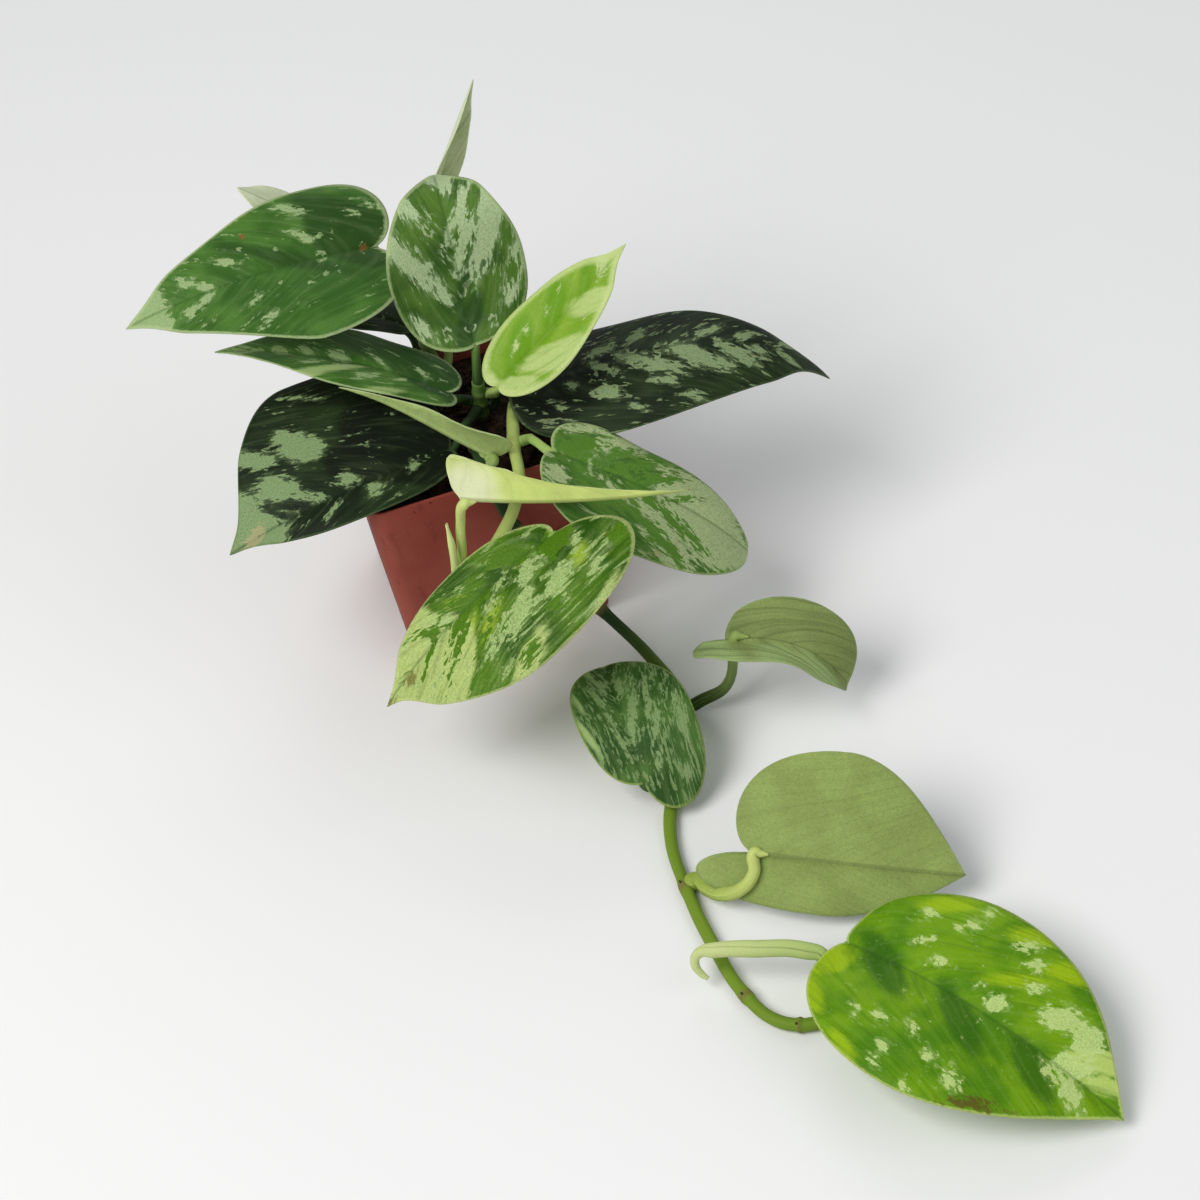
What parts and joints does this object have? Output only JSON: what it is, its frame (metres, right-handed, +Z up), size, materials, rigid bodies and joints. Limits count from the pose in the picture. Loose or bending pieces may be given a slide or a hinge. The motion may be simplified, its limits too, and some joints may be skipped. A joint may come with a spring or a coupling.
{
  "type": "potted satin pothos plant",
  "caption": "Satin pothos in a small square nursery pot: heart-shaped silver-splashed leaves on petioles around a crown, and a vine that trails over the rim and lies along the surface.",
  "frame": {"origin": "centre of the pot's flat underside, on the surface that the pot stands on", "axes": "+Z up; -Y towards the viewer, the way the vine leaves the pot and trails; +X to the viewer's right"},
  "size_m": [0.2961, 0.4164, 0.1952],
  "materials": {
    "pot": "matt brick-red nursery plastic with a faint grain and soil specks",
    "soil": "loose dark peat potting soil with crumbs and fibres",
    "vine_stem": "smooth dark green stem with ringed nodes, paler towards its end",
    "pale_stem": "smooth pale yellow-green young stem",
    "green_stem": "smooth mid green stem with ringed nodes",
    "green_leaf": "satin leaf, mid green with silver flecks and a pale margin",
    "dark_leaf": "satin leaf, dark green with silver blotches and a pale margin",
    "silver_leaf": "satin leaf, mostly silver-green with green streaks",
    "bright_leaf": "satin leaf, bright green with silver spots and a pale margin",
    "young_leaf": "young leaf, yellow-green with a pale silvery half",
    "pale_leaf": "young leaf still folded or rolled, pale cream-green",
    "leaf_underside": "matt pale grey-green underside with fine veins"
  },
  "bodies": {
    "root": {"pot": "pot", "soil": "soil", "trailing_vine": "vine_stem", "young_shoot": "pale_stem", "crown_stem": "green_stem", "back_stem": "green_stem", "leaf_01_upper_left": "green_leaf", "leaf_02_top": "silver_leaf", "leaf_03_young": "young_leaf", "leaf_04_right": "dark_leaf", "leaf_05_lower_left": "dark_leaf", "leaf_06_left": "green_leaf", "leaf_07_pale_left": "pale_leaf", "leaf_08_folded": "pale_leaf", "leaf_09_right_front": "silver_leaf", "leaf_10_front": "bright_leaf", "leaf_11_vine": "green_leaf", "leaf_12_vine": "leaf_underside", "leaf_13_vine": "leaf_underside", "leaf_14_vine_end": "bright_leaf", "leaf_15_rolled": "pale_leaf", "leaf_16_back": "dark_leaf", "leaf_17_behind": "leaf_underside", "leaf_18_spike": "leaf_underside", "sheath_bud": "pale_leaf"}
  },
  "joints": []
}
